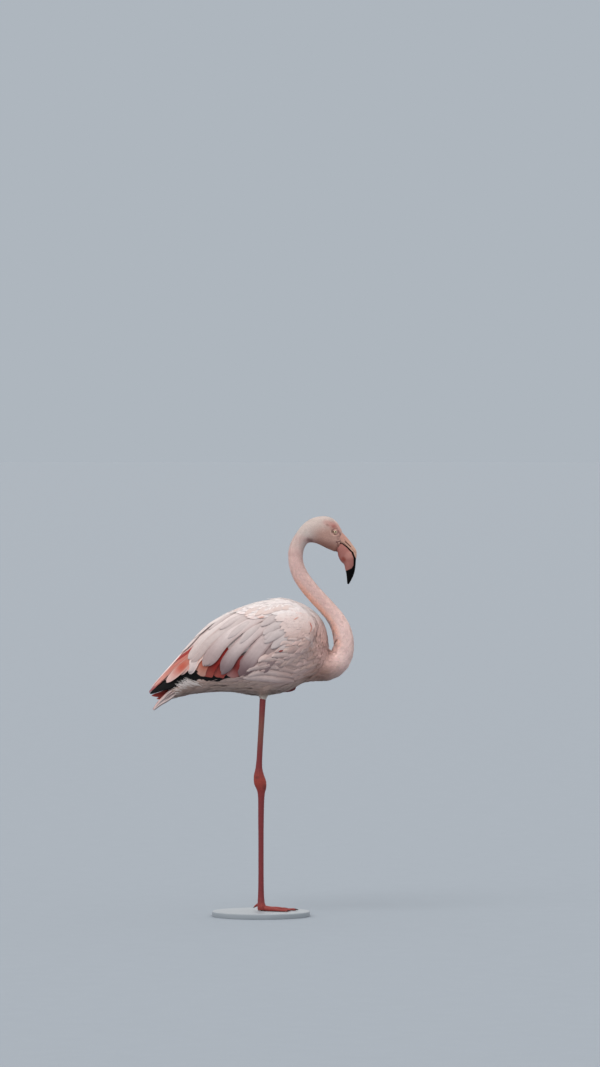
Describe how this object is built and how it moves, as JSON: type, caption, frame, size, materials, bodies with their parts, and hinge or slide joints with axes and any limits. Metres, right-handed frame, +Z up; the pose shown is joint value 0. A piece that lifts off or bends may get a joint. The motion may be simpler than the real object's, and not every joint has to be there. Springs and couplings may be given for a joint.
{
  "type": "greater flamingo",
  "caption": "Life-size still model of a greater flamingo on one leg, with its neck in an S and its bent bill down, on a flat base.",
  "frame": {"origin": "in the middle of the underside of the round base, right below the pad of the standing foot", "axes": "+Z up, +X the way the bird faces, +Y towards its left side, so that its standing right leg is on the -Y side"},
  "size_m": [0.4683, 0.22, 0.9],
  "materials": {
    "plumage": "soft overlapping body feathers, pinkish white, matt",
    "wing": "smooth overlapping wing feathers, white to pale pink, red between them",
    "flight_feather": "smooth black flight feathers, slight sheen",
    "tail_feather": "pinkish-white tail feathers",
    "neck_plumage": "short dense pink feathers, matt",
    "head_plumage": "very short dense feathers, pinkish, with bare pink skin before the eye",
    "bill_pale": "horn, pale with a black tip, satin",
    "bill_pink": "horn, pink with a black tip, satin",
    "eye": "wet, clear cornea over a pale yellow iris",
    "leg_skin": "scaly dull red skin",
    "joint_skin": "wrinkled darker red skin",
    "claw": "dark horn",
    "stand": "wood under matt grey paint"
  },
  "bodies": {
    "root": {"trunk": "plumage", "thigh_right": "plumage", "wing_right": "wing", "wing_left": "wing", "flight_feathers_right": "flight_feather", "flight_feathers_left": "flight_feather", "tail": "tail_feather", "neck_1": "neck_plumage", "neck_2": "neck_plumage", "neck_3": "neck_plumage", "neck_4": "neck_plumage", "head": "head_plumage", "bill_upper": "bill_pale", "bill_lower": "bill_pink", "eye_right": "eye", "eye_left": "eye", "shin_right": "leg_skin", "heel_right": "joint_skin", "shank_right": "leg_skin", "foot_right": "leg_skin", "claw_right_inner": "claw", "claw_right_middle": "claw", "claw_right_outer": "claw", "shin_left": "leg_skin", "heel_left": "joint_skin", "shank_left": "leg_skin", "foot_left": "leg_skin", "stand_base": "stand"}
  },
  "joints": []
}
